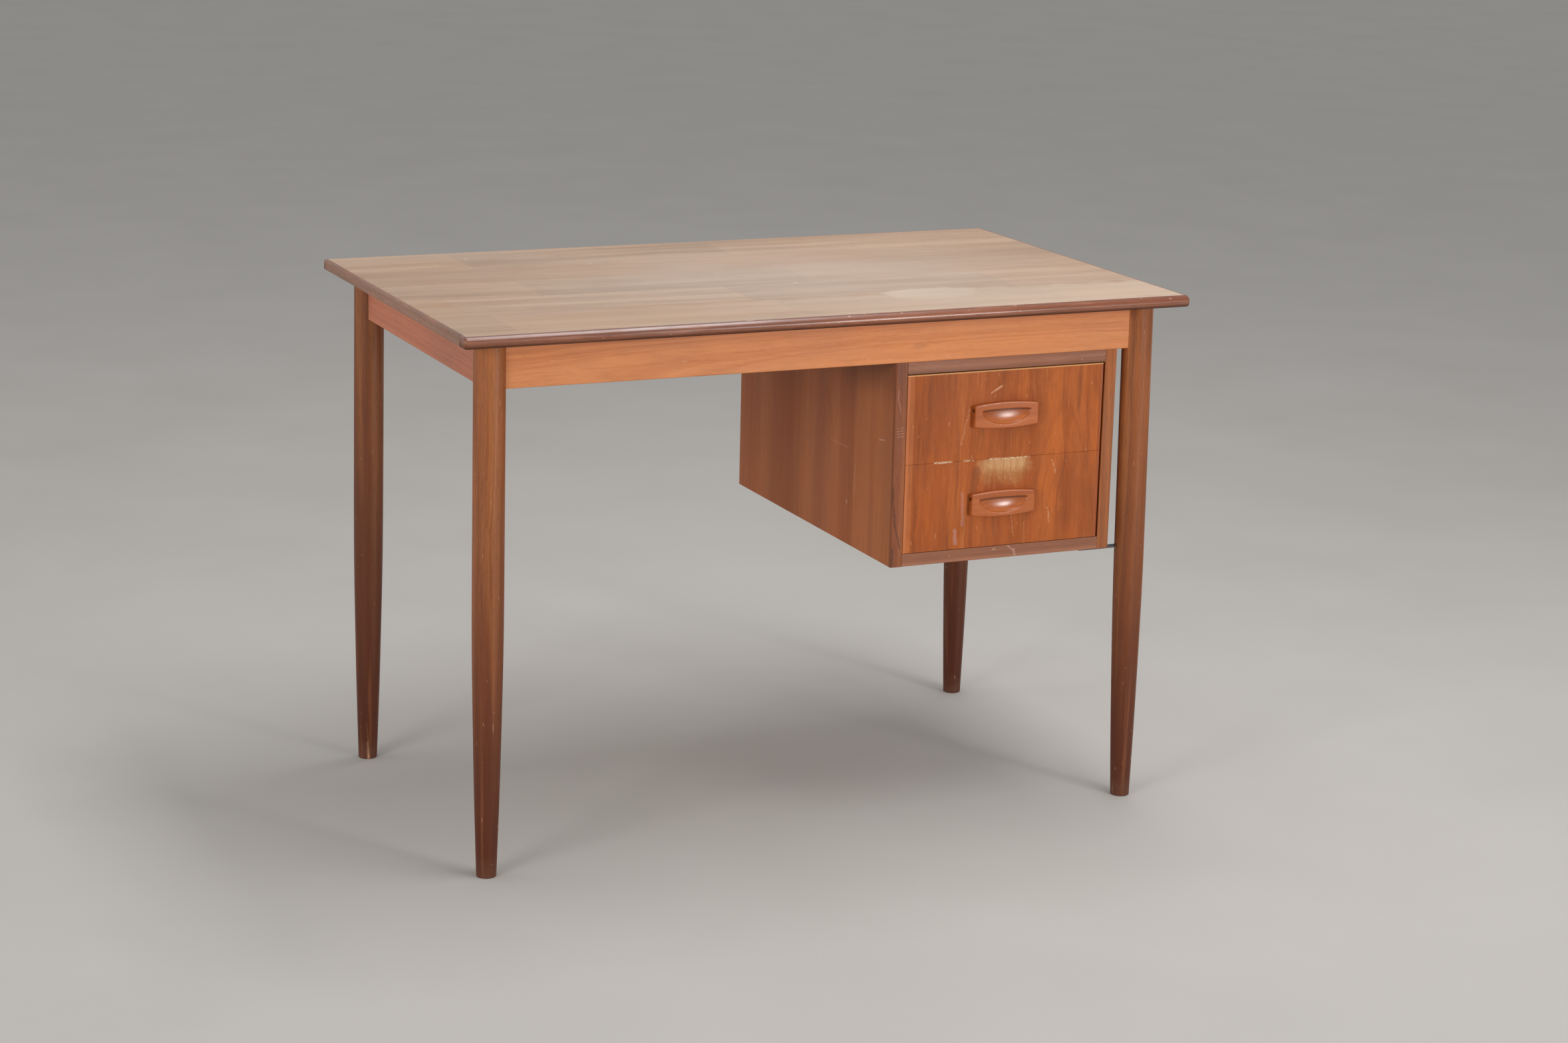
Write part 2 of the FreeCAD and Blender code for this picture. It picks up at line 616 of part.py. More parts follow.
def desk_parts():
    parts = {
        "top_core": top_core(),
        "top_veneer": top_veneer(),
        "top_balancing_veneer": top_balancing_veneer(),
        "fixing_block_front": fixing_block(-1),
        "fixing_block_rear": fixing_block(1),
        "dowels": Part.makeCompound([dowel(*place) for place in dowel_places()]),
        "top_fixing_screws": Part.makeCompound(TOP_SCREWS),
        "pedestal_hanging_screws": Part.makeCompound(HANGING_SCREWS),
        "pedestal_top": ped_level(OPEN_TOP, PED_TOP),
        "pedestal_bottom": ped_level(PED_Z, OPEN_Z),
        "pedestal_back": ped_back(),
        "pedestal_back_nails": Part.makeCompound(BACK_NAILS),
        "runner_screws": Part.makeCompound(RUNNER_SCREWS),
        "steel_strap": steel_strap(),
        "strap_screws": Part.makeCompound(STRAP_SCREWS),
    }
    for side in ("front", "rear", "left", "right"):
        parts["top_lip_" + side] = top_lip(side)
        parts["apron_" + side] = apron(side)
    for corner in CORNERS:
        parts["leg_" + corner] = leg(corner)
        parts["corner_block_" + corner] = corner_block(corner)
    for side in ("left", "right"):
        parts["bearer_" + side] = bearer(side)
        parts["pedestal_side_" + side] = ped_side(side)
    for side in ("left", "right", "top", "bottom"):
        parts["pedestal_lip_" + side] = ped_lip(side)
    for name in DRAWER_Z:
        screws, holes = pull_screws(name)
        parts[name + "_drawer_front"] = drawer_front(name)
        parts[name + "_drawer_front_lips"] = drawer_front_lips(name)
        parts[name + "_drawer_back"] = drawer_back(name)
        parts[name + "_drawer_bottom"] = drawer_bottom(name)
        parts[name + "_pull"] = pull(name)
        parts[name + "_pull_screws"] = Part.makeCompound(screws)
        for side in ("left", "right"):
            parts[name + "_drawer_side_" + side] = drawer_side(name, side)
            parts[name + "_runner_" + side] = runner(name, side)
    return parts


os.makedirs("parts", exist_ok=True)
for node, shape in desk_parts().items():
    shape.exportStep("parts/" + node + ".step")
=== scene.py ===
import math

import bpy
from mathutils import Matrix, Vector


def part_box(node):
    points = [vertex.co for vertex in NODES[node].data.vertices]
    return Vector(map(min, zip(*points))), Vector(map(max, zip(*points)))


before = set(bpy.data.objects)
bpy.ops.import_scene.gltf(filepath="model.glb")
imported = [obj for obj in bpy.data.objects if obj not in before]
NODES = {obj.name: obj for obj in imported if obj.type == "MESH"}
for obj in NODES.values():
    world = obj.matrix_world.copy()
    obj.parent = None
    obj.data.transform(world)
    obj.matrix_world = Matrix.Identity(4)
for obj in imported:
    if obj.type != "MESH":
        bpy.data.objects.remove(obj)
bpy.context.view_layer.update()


# ---------------------------------------------------------------- node helpers

class Tree:
    """A short way to write shader nodes: every method returns an output socket."""

    def __init__(self, name, is_world=False):
        makers = bpy.data.worlds if is_world else bpy.data.materials
        self.owner = makers.new(name)
        self.owner.use_nodes = True
        self.tree = self.owner.node_tree
        self.tree.nodes.clear()
        self.point = None
        self.parts = None

    def add(self, kind, inputs=None, **settings):
        node = self.tree.nodes.new(kind)
        for key, value in settings.items():
            setattr(node, key, value)
        for key, value in (inputs or {}).items():
            self.feed(node.inputs[key], value)
        return node

    def feed(self, socket, value):
        if isinstance(value, bpy.types.NodeSocket):
            self.tree.links.new(value, socket)
        else:
            socket.default_value = value

    def math(self, operation, a, b=0.0, c=0.0):
        return self.add("ShaderNodeMath", {0: a, 1: b, 2: c}, operation=operation).outputs[0]

    def mul(self, a, b):
        return self.math("MULTIPLY", a, b)

    def plus(self, a, b):
        return self.math("ADD", a, b)

    def most(self, *values):
        """The largest of several masks."""
        result = values[0]
        for value in values[1:]:
            result = self.math("MAXIMUM", result, value)
        return result

    def position(self):
        if self.point is None:
            self.point = self.add("ShaderNodeTexCoord").outputs["Object"]
        return self.point

    def xyz(self):
        if self.parts is None:
            node = self.add("ShaderNodeSeparateXYZ", {0: self.position()})
            self.parts = tuple(node.outputs[i] for i in range(3))
        return self.parts

    def vector(self, x=0.0, y=0.0, z=0.0):
        return self.add("ShaderNodeCombineXYZ", {0: x, 1: y, 2: z}).outputs[0]

    def vmath(self, operation, a, b=(0.0, 0.0, 0.0)):
        return self.add("ShaderNodeVectorMath", {0: a, 1: b}, operation=operation)

    def scaled(self, vector, factors):
        return self.vmath("MULTIPLY", vector, factors).outputs[0]

    def shifted(self, vector, offset):
        return self.vmath("ADD", vector, offset).outputs[0]

    def length(self, vector):
        return self.vmath("LENGTH", vector).outputs["Value"]

    def dot(self, a, b):
        return self.vmath("DOT_PRODUCT", a, b).outputs["Value"]

    def noise(self, vector, detail=2.0, roughness=0.5, scale=1.0):
        inputs = {"Vector": vector, "Scale": scale, "Detail": detail, "Roughness": roughness}
        return self.add("ShaderNodeTexNoise", inputs).outputs[0]

    def noise_1d(self, value, detail=2.0, roughness=0.5):
        inputs = {"W": value, "Scale": 1.0, "Detail": detail, "Roughness": roughness}
        return self.add("ShaderNodeTexNoise", inputs, noise_dimensions="1D").outputs[0]

    def chance(self, x, y):
        """A number from 0 to 1 that is the same all over one cell."""
        return self.add("ShaderNodeTexWhiteNoise", {"Vector": self.vector(x, y, 0.0)}).outputs["Value"]

    def ramp(self, value, low, high, to_low=0.0, to_high=1.0):
        """Value from low..high mapped smoothly to to_low..to_high, held level outside."""
        inputs = {"Value": value, 1: low, 2: high, 3: to_low, 4: to_high}
        return self.add("ShaderNodeMapRange", inputs, interpolation_type="SMOOTHSTEP").outputs[0]

    def mix(self, factor, a, b, blend="MIX"):
        node = self.add("ShaderNodeMix", data_type="RGBA", blend_type=blend)
        self.feed(node.inputs[0], factor)
        self.feed(node.inputs[6], a)
        self.feed(node.inputs[7], b)
        return node.outputs[2]

    def shade(self, colour, factor):
        """The colour made lighter or darker by a number."""
        grey = self.add("ShaderNodeCombineColor", {0: factor, 1: factor, 2: factor}).outputs[0]
        return self.mix(1.0, colour, grey, "MULTIPLY")

    # marks: each is a mask, 1 on the mark and 0 off it

    def spot(self, centre, radii, ragged=0.5, grit=70.0, soft=0.45):
        """A patch inside an ellipsoid, with an uneven edge."""
        local = self.shifted(self.position(), [-c for c in centre])
        distance = self.length(self.scaled(local, [1.0 / r for r in radii]))
        uneven = self.mul(self.plus(self.noise(self.position(), 4.0, 0.6, grit), -0.5), 2.0 * ragged)
        return self.ramp(self.plus(distance, uneven), 1.0 - soft, 1.0 + 0.3 * soft, 1.0, 0.0)

    def scratch(self, start, end, width, broken=0.5, wander=0.0):
        """A thin line from start to end, worn through in places."""
        start, end = Vector(start), Vector(end)
        run = end - start
        local = self.shifted(self.position(), -start)
        along = self.dot(local, run / run.length_squared)
        inside = self.add("ShaderNodeClamp", {0: along}).outputs[0]
        foot = self.scaled(self.vector(inside, inside, inside), run)
        away = self.vmath("SUBTRACT", local, foot).outputs[0]
        if wander:
            bend = self.plus(self.noise(self.position(), 2.0, 0.5, 90.0), -0.5)
            away = self.shifted(away, self.vector(self.mul(bend, wander), 0.0, self.mul(bend, wander)))
        line = self.ramp(self.length(away), 0.25 * width, 0.6 * width, 1.0, 0.0)
        grit = self.noise(self.position(), 2.0, 0.6, 420.0)
        return self.mul(line, self.ramp(grit, broken - 0.12, broken + 0.02))

    def flecks(self, stretch, amount, seed=0.0):
        """Short random dashes; stretch gives the scale along x, y and z."""
        shifted = self.shifted(self.position(), (seed, 1.7 * seed, 2.3 * seed))
        return self.ramp(self.noise(self.scaled(shifted, stretch), 1.0), 1.0 - amount, 1.03 - amount)


def rgb(r, g, b):
    """A colour given as it looks on screen, 0 to 255, turned into linear light."""
    def linear(c):
        c = c / 255.0
        return c / 12.92 if c <= 0.04045 else ((c + 0.055) / 1.055) ** 2.4
    return (linear(r), linear(g), linear(b), 1.0)


# ---------------------------------------------------------------- wood

GRAIN_AXES = {"x": (0, 1, 2), "y": (1, 0, 2), "z": (2, 0, 1)}
PORE_DEPTH = 0.0003


def wood(name, axis, colours, seed=0.0, band=0.03, figure=0.4, rings=160.0, streaks=0.4, pores=0.5,
         flames=0.0, tone=0.5, rough=(0.42, 0.60), specular=0.3, bump=0.3, edge=0.0008, worn_edge=0.0,
         pith=(0.07, -0.05), slope=0.16, paint=None, polish=None):
    """Wood with its grain along one axis. colours are (light, mid, dark, pore) as seen.

    band is the width of the broad stripes in metres, rings the growth rings in a metre. pith is where
    the heart of the log lies across the grain, and slope how fast the rings close into arches.
    paint(t, colour, rough) adds marks of its own and returns both; polish(t) says where it is buffed.
    """
    t = Tree(name)
    light, mid, dark, pore = [rgb(*c) for c in colours]
    order = GRAIN_AXES[axis]
    p = t.xyz()
    cut = (1.37 * seed, 2.11 * seed, 0.73 * seed)  # where in the log this wood is cut
    grain = t.shifted(t.vector(p[order[0]], p[order[1]], p[order[2]]), cut)
    drift = t.plus(t.noise(t.scaled(grain, (2.0, 6.0, 6.0)), 2.0), -0.5)
    grain = t.shifted(grain, t.vector(0.0, t.mul(drift, 0.03), t.mul(drift, 0.02)))

    # broad stripes, growth rings, fine streaks, dark flames and open pores, from large to small
    stripes = t.noise(t.scaled(grain, (0.8, 1.0 / band, 1.0 / band)), 2.0, 0.5)
    heart = (-0.31 - cut[0], -pith[0] - cut[1], -pith[1] - cut[2])
    radius = t.length(t.scaled(t.shifted(grain, heart), (slope, 1.0, 1.0)))
    wobble = t.plus(t.noise(t.scaled(grain, (6.0, 30.0, 30.0)), 3.0), -0.5)
    ring = t.noise_1d(t.mul(t.plus(radius, t.mul(wobble, 0.006)), rings), 2.0, 0.6)
    streak = t.noise(t.scaled(grain, (9.0, 420.0, 420.0)), 3.0, 0.6)
    flame = t.noise(t.scaled(grain, (17.0, 210.0, 210.0)), 2.0, 0.55)
    pore_dash = t.noise(t.scaled(grain, (60.0, 1400.0, 1400.0)), 1.0)
    patina = t.noise(t.scaled(grain, (5.0, 9.0, 9.0)), 4.0, 0.6)

    colour = t.mix(t.ramp(stripes, 0.38, 0.62), mid, light)
    colour = t.mix(t.mul(t.ramp(ring, 0.42, 0.68), figure), colour, dark)
    colour = t.mix(t.mul(t.ramp(streak, 0.50, 0.72), streaks), colour, dark)
    colour = t.mix(t.mul(t.ramp(flame, 0.60, 0.70), flames), colour, pore)
    colour = t.mix(t.mul(t.ramp(pore_dash, 0.60, 0.68), pores), colour, pore)
    colour = t.shade(colour, t.ramp(patina, 0.32, 0.68, 1.0 - 0.2 * tone, 1.0 + 0.16 * tone))

    rounded = t.add("ShaderNodeBevel", {"Radius": edge}, samples=4).outputs[0]
    if worn_edge:
        flat = t.add("ShaderNodeNewGeometry").outputs["True Normal"]
        turned = t.ramp(t.dot(rounded, flat), 0.90, 0.99, 1.0, 0.0)
        colour = t.mix(t.mul(turned, t.mul(t.ramp(patina, 0.4, 0.6), worn_edge)), colour, light)
    roughness = t.ramp(t.plus(t.mul(streak, 0.4), t.mul(patina, 0.6)), 0.38, 0.62, rough[0], rough[1])
    if paint:
        colour, roughness = paint(t, colour, roughness)

    height = t.plus(t.mul(pore_dash, -0.6), t.mul(streak, 0.4))
    normal = t.add("ShaderNodeBump", {
        "Strength": bump, "Distance": PORE_DEPTH, "Height": height, "Normal": rounded,
    })
    shader = t.add("ShaderNodeBsdfPrincipled", {
        "Base Color": colour, "Roughness": roughness, "Normal": normal.outputs[0],
        "Specular IOR Level": specular, "Coat Weight": polish(t) if polish else 0.0,
        "Coat Roughness": 0.22,
    })
    t.add("ShaderNodeOutputMaterial", {"Surface": shader.outputs[0]})
    return t.owner


def steel(name, tone, roughness):
    """Bright drawn steel with fine scratches and dull blotches."""
    t = Tree(name)
    scratches = t.noise(t.scaled(t.position(), (60.0, 900.0, 900.0)), 2.0)
    blotches = t.noise(t.position(), 3.0, 0.5, 90.0)
    colour = t.mix(t.ramp(blotches, 0.4, 0.7), rgb(*tone), rgb(*[0.72 * c for c in tone]))
    normal = t.add("ShaderNodeBump", {"Strength": 0.15, "Distance": 0.0001, "Height": scratches})
    shader = t.add("ShaderNodeBsdfPrincipled", {
        "Base Color": colour, "Roughness": t.ramp(scratches, 0.3, 0.7, roughness, roughness + 0.2),
        "Normal": normal.outputs[0], "Metallic": 1.0,
    })
    t.add("ShaderNodeOutputMaterial", {"Surface": shader.outputs[0]})
    return t.owner


# ---------------------------------------------------------------- marks of use, painted into the woods
#
# Marks are placed in millimetres from a corner of the piece that has them. Where a docstring says
# painted shade, a colour follows the light in the photograph rather than a known change in the wood.

CHALK = rgb(206, 190, 180)
# dark dirt in joints, and painted shade in the pulls' hollows
GRIME_AND_SHADE = rgb(52, 26, 18)
MM = 0.001


def on_front(node, dx, dz):
    """A point on the front face of a node, in millimetres right of and above its lower left corner."""
    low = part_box(node)[0]
    return (low[0] + dx * MM, low[1], low[2] + dz * MM)


def on_side(node, dy, dz):
    """A point on the left face of a node, in millimetres back from and above its lower front corner."""
    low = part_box(node)[0]
    return (low[0], low[1] + dy * MM, low[2] + dz * MM)


def on_top(node, dx, dy):
    """A point on the top face of a node, in millimetres right of and back from its front left corner."""
    low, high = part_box(node)
    return (low[0] + dx * MM, low[1] + dy * MM, high[2])


def mm(*sizes):
    return tuple(s * MM for s in sizes)


def paint_top(t, colour, rough):
    """Strips of veneer butted end to end; paler along the front, in the middle and where the arm rubs."""
    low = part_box("top_veneer")[0]
    x, y = t.xyz()[:2]
    strip_width, strip_length = 0.115, 0.40
    rows = t.mul(t.plus(y, -low[1] - 0.16 * strip_width), 1.0 / strip_width)
    row = t.math("FLOOR", rows)
    places = t.plus(t.mul(x, 1.0 / strip_length), t.mul(t.chance(row, 3.0), 5.0))
    cell = t.math("FLOOR", places)
    colour = t.shade(colour, t.ramp(t.chance(t.plus(row, 7.0), cell), 0.0, 1.0, 0.86, 1.05))
    warm = t.ramp(t.chance(row, t.plus(cell, 11.0)), 0.4, 1.0)
    colour = t.mix(t.mul(warm, 0.40), colour, rgb(174, 132, 98))
    seam = t.most(t.ramp(t.math("FRACT", rows), 0.0, 0.012, 1.0, 0.0),
                  t.ramp(t.math("FRACT", places), 0.0, 0.003, 1.0, 0.0))
    colour = t.mix(t.mul(seam, 0.22), colour, rgb(122, 90, 68))

    ragged = t.mul(t.plus(t.noise(t.position(), 5.0, 0.65, 22.0), -0.5), 0.06)
    edge = low[1] + 126 * MM
    bleach = t.ramp(t.plus(y, ragged), edge - 8 * MM, edge + 8 * MM, 1.0, 0.0)
    bleach = t.mul(bleach, t.ramp(x, -0.36, 0.34, 0.25, 0.85))
    rub = t.spot(on_top("top_veneer", 712, 112), mm(80, 44, 30), 0.6, 26.0, 0.25)
    colour = t.mix(t.most(t.mul(bleach, 0.42), t.mul(rub, 0.50)), colour, rgb(212, 194, 174))
    haze = t.noise(t.scaled(t.position(), (3.0, 9.0, 1.0)), 3.0, 0.6)
    colour = t.mix(t.ramp(haze, 0.38, 0.68, 0.0, 0.18), colour, rgb(200, 176, 156))
    # paler over the middle of the top
    paler_middle = t.spot(on_top("top_veneer", 560, 290), mm(460, 240, 40), 0.25, 4.0, 0.8)
    colour = t.mix(t.mul(paler_middle, 0.24), colour, rgb(216, 202, 190))
    dull = t.noise(t.scaled(t.shifted(t.position(), (5.0, 2.0, 0.0)), (6.0, 16.0, 1.0)), 3.0, 0.6)
    colour = t.mix(t.ramp(dull, 0.52, 0.74, 0.0, 0.14), colour, rgb(146, 116, 92))
    dust = t.flecks((260.0, 340.0, 1.0), 0.20, 3.0)
    colour = t.mix(t.mul(dust, 0.25), colour, CHALK)
    spots = t.most(t.spot(on_top("top_veneer", 561, 244), mm(5, 2.4, 9), 0.4, 300.0),
                   t.spot(on_top("top_veneer", 187, 556), mm(4, 2.5, 9), 0.4, 300.0),
                   t.spot(on_top("top_veneer", 345, 476), mm(2.5, 2, 9), 0.4, 300.0))
    colour = t.mix(t.mul(spots, 0.6), colour, rgb(232, 222, 208))
    fine = t.most(t.scratch(on_top("top_veneer", 605, 120), on_top("top_veneer", 695, 96), 0.0014),
                  t.scratch(on_top("top_veneer", 295, 210), on_top("top_veneer", 377, 226), 0.0014),
                  t.scratch(on_top("top_veneer", 475, 330), on_top("top_veneer", 515, 395), 0.0012))
    colour = t.mix(t.mul(fine, 0.35), colour, CHALK)
    return colour, t.plus(rough, t.mul(t.most(bleach, rub), 0.06))


def paint_lip(t, colour, rough):
    """Rubbed paler in runs along the edge, with small knocks."""
    rubbed = t.noise(t.scaled(t.position(), (9.0, 9.0, 90.0)), 3.0, 0.6)
    colour = t.mix(t.ramp(rubbed, 0.50, 0.72, 0.0, 0.35), colour, rgb(172, 112, 82))
    knocks = t.flecks((90.0, 90.0, 260.0), 0.255, 5.0)
    colour = t.mix(t.mul(knocks, 0.5), colour, rgb(200, 160, 132))
    chip = t.spot(on_top("top_lip_front", 392, 9), mm(8, 3, 3), 0.5, 200.0)
    colour = t.mix(t.mul(chip, 0.6), colour, rgb(214, 190, 170))
    joint = t.spot(on_top("top_lip_left", 3, 2), mm(6, 1.2, 4), 0.3, 200.0)
    colour = t.mix(t.mul(joint, 0.7), colour, GRIME_AND_SHADE)
    return colour, t.plus(rough, t.mul(knocks, 0.2))


def paint_front_lip(t, colour, rough):
    """As the other lippings, with painted shade: darker below the upper rounding."""
    colour, rough = paint_lip(t, colour, rough)
    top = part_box("top_lip_front")[1][2]
    light = t.ramp(t.xyz()[2], top - 15.5 * MM, top - 8 * MM, 0.26, 1.0)
    return t.shade(colour, light), rough


def polish_front_lip(t):
    """Buffed unevenly along its upper rounding, and less towards the right end."""
    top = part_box("top_lip_front")[1][2]
    uneven = t.noise(t.scaled(t.position(), (14.0, 60.0, 60.0)), 3.0)
    x, z = t.xyz()[0], t.xyz()[2]
    buffed = t.mul(t.ramp(z, top - 11 * MM, top - 5 * MM), t.ramp(uneven, 0.35, 0.6, 0.65, 1.0))
    return t.mul(buffed, t.ramp(x, -0.05, 0.40, 1.0, 0.25))


def paint_apron(t, colour, rough):
    """Small pale nicks and a faint knot, with painted shade: darker under the top and to the right."""
    nicks = t.flecks((60.0, 60.0, 420.0), 0.25, 2.0)
    colour = t.mix(t.mul(nicks, 0.5), colour, rgb(228, 178, 134))
    knot = t.spot(on_front("apron_front", 588, 22), mm(10, 12, 7), 0.7, 120.0, 0.6)
    colour = t.mix(t.mul(knot, 0.28), colour, rgb(158, 106, 76))
    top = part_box("apron_front")[1][2]
    shut = t.ramp(t.xyz()[2], top - 13 * MM, top - 2 * MM, 0.0, 0.5)
    colour = t.mix(shut, colour, rgb(132, 70, 40))
    colour = t.shade(colour, t.ramp(t.xyz()[0], 0.0, 0.35, 1.0, 0.93))
    return colour, rough


def paint_leg(t, colour, rough):
    """Nicks and scuffed feet, a split in the rear left one, and painted shade.

    The shade makes the rear legs, and every leg towards its foot, darker.
    """
    y, z = t.xyz()[1:]
    between = 0.1  # the step from front to rear legs falls within this of the middle
    colour = t.shade(colour, t.ramp(y, -between, between, 1.06, 0.63))
    colour = t.mix(t.ramp(z, 0.0, 0.70, 0.94, 0.0), colour, rgb(76, 30, 10))
    stripes = t.noise(t.scaled(t.position(), (80.0, 80.0, 2.2)), 2.0)
    colour = t.mix(t.ramp(stripes, 0.50, 0.68, 0.0, 0.40), colour, rgb(92, 44, 22))
    pale = t.noise(t.scaled(t.shifted(t.position(), (1.0, 4.0, 0.3)), (110.0, 110.0, 3.0)), 2.0)
    colour = t.mix(t.ramp(pale, 0.56, 0.80, 0.0, 0.22), colour, rgb(186, 112, 62))
    nicks = t.flecks((240.0, 240.0, 50.0), 0.235, 8.0)
    bruises = t.flecks((320.0, 320.0, 90.0), 0.24, 4.0)
    colour = t.mix(t.mul(t.most(nicks, bruises), 0.42), colour, rgb(196, 150, 116))
    uneven = t.mul(t.plus(t.noise(t.position(), 4.0, 0.6, 60.0), -0.5), 0.05)
    foot = t.ramp(t.plus(z, uneven), 2 * MM, 36 * MM, 1.0, 0.0)
    colour = t.mix(t.mul(foot, 0.22), colour, rgb(122, 92, 72))
    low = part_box("leg_rear_left")[0]
    near = (low[0] + 15.0 * MM, low[1] + 15.5 * MM)
    split = t.scratch((near[0] + 0.5 * MM, near[1], 4 * MM),
                      (near[0] - 1.5 * MM, near[1] - 0.5 * MM, 60 * MM), 0.0056, 0.28, 0.003)
    flap = t.spot((near[0], near[1], 4 * MM), mm(2.2, 7, 7), 0.8, 240.0)
    colour = t.mix(t.mul(t.most(split, flap), 0.55), colour, rgb(212, 158, 118))
    return colour, t.plus(rough, t.mul(foot, 0.15))


def paint_side(t, colour, rough):
    """Broad stripes and a few scratches, with painted shade: darker to the rear and in the upper front."""
    side = "pedestal_side_left"
    marks = t.most(
        t.scratch(on_side(side, 26, 172), on_side(side, 40, 170), 0.0028, 0.35),
        t.mul(t.scratch(on_side(side, 138, 138), on_side(side, 196, 137), 0.0022, 0.5), 0.6),
        t.scratch(on_side(side, 116, 118), on_side(side, 116, 76), 0.0022, 0.5),
        t.spot(on_side(side, 139, 60), mm(6, 3, 3), 0.4, 300.0))
    colour = t.mix(t.mul(marks, 0.5), colour, rgb(196, 150, 122))
    wide = t.noise(t.scaled(t.position(), (14.0, 14.0, 0.5)), 2.0)
    colour = t.shade(colour, t.ramp(wide, 0.35, 0.65, 0.90, 1.07))
    colour = t.shade(colour, t.ramp(t.xyz()[1], -0.1, 0.2, 1.0, 0.92))
    low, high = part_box(side)
    near = t.ramp(t.xyz()[1], low[1] + 100 * MM, low[1] + 260 * MM, 1.0, 0.0)
    shut = t.mul(near, t.ramp(t.xyz()[2], high[2] - 70 * MM, high[2] - 15 * MM))
    colour = t.mix(t.mul(shut, 0.42), colour, rgb(70, 40, 28))
    return colour, rough


def paint_strips(t, colour, rough):
    """The strips round the drawers: a crack low on the left one, knocks at its middle, pale scuffs.

    Painted shade makes the lowest part darker.
    """
    left = "pedestal_lip_left"
    crack = t.most(
        t.scratch(on_front(left, 1.0, 112), on_front(left, 1.5, 86), 0.0036, 0.42, 0.003),
        t.scratch(on_front(left, 2.0, 82), on_front(left, 5, 58), 0.0040, 0.36, 0.004),
        t.scratch(on_front(left, 5, 58), on_front(left, 13, 27), 0.0026, 0.36, 0.004),
        t.scratch(on_front(left, 2, 26), on_front(left, 1.5, 3), 0.0030, 0.36, 0.003))
    colour = t.mix(t.mul(crack, 0.7), colour, rgb(82, 46, 30))
    rows = [t.scratch(on_front(left, 4, 194 - 4 * i), on_front(left, 14, 195 - 4 * i), 0.0015, 0.45)
            for i in range(4)]
    vein = t.scratch(on_front(left, 4, 238), on_front(left, 9, 214), 0.0016, 0.45, 0.003)
    vein = t.most(vein, t.scratch(on_front(left, 5, 246), on_front(left, 4, 238), 0.0016, 0.3))
    bottom = "pedestal_lip_bottom"
    chip = t.most(t.scratch(on_front(bottom, 163, 16), on_front(bottom, 172, 9), 0.0030, 0.40, 0.003),
                  t.scratch(on_front(bottom, 172, 10), on_front(bottom, 175, 2), 0.0036, 0.36, 0.003),
                  t.spot(on_front(bottom, 141, 13), mm(4, 4, 2), 0.9, 300.0))
    faint = t.mul(t.most(vein, *rows), 0.6)
    colour = t.mix(t.mul(t.most(faint, chip), 0.45), colour, rgb(196, 158, 134))
    knocks = t.flecks((150.0, 150.0, 150.0), 0.235, 6.0)
    colour = t.mix(t.mul(knocks, 0.4), colour, rgb(188, 146, 120))
    low_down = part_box(bottom)[1][2] + 13 * MM
    colour = t.shade(colour, t.ramp(t.xyz()[2], low_down, low_down + 10 * MM, 0.92, 1.0))
    return colour, rough


